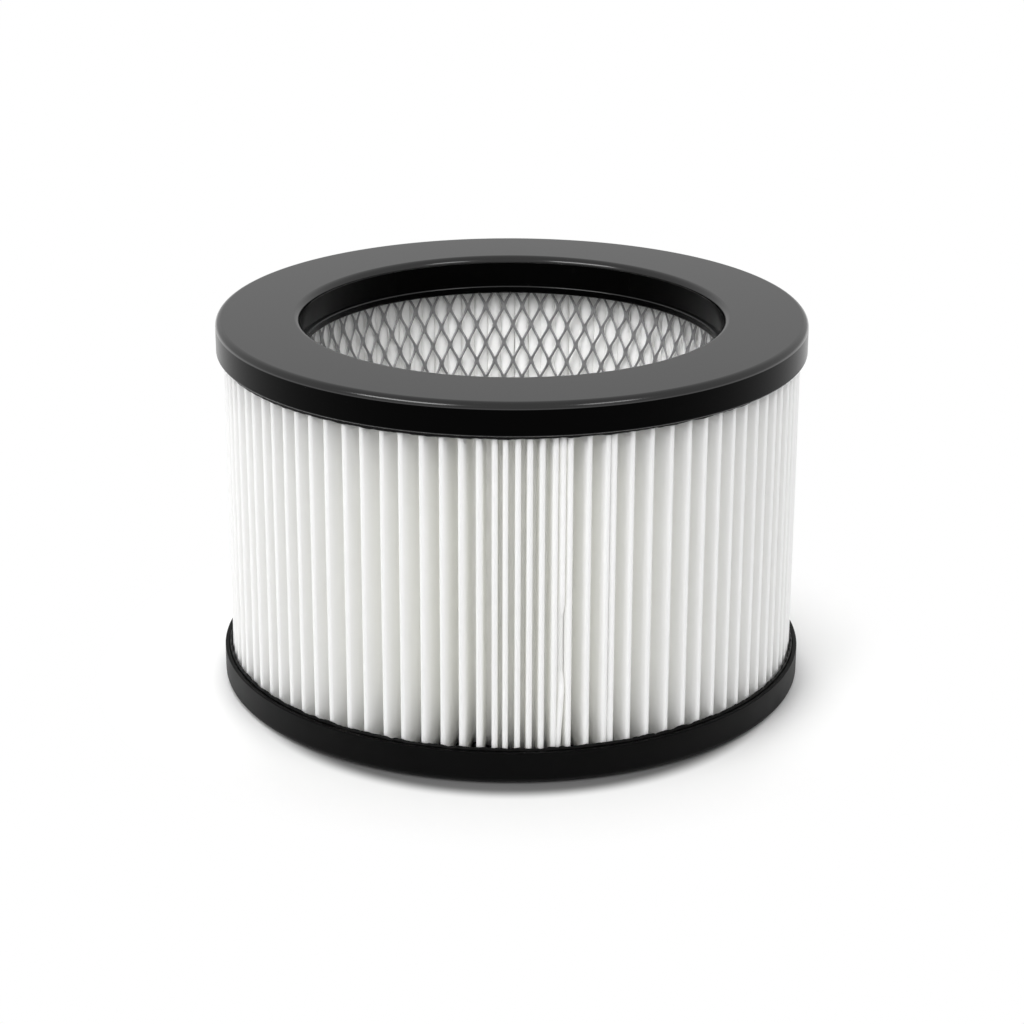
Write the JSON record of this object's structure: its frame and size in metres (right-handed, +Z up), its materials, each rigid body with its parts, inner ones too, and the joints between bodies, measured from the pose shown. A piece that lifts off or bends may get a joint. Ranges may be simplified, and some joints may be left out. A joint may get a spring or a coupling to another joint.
{
  "type": "vacuum cleaner cartridge filter",
  "caption": "Round pleated cartridge filter for a vacuum cleaner, with an open collared end cap, a closed tray end cap and a metal mesh core.",
  "frame": {"origin": "centre of the closed cap's underside", "axes": "+Z up along the filter's axis, out of the open collar; the paper's seam faces -Y"},
  "size_m": [0.1506, 0.1506, 0.096],
  "materials": {
    "cap_black": "satin face, glossy sides",
    "tray_black": "matte",
    "filter_paper": "soft, fibrous",
    "core_metal": "dull zinc grey",
    "potting_black": "lumpy cast"
  },
  "bodies": {
    "root": {"top_end_cap": "cap_black", "bottom_end_cap": "tray_black", "pleated_media": "filter_paper", "inner_core": "core_metal", "top_potting": "potting_black", "bottom_potting": "potting_black"}
  },
  "joints": []
}
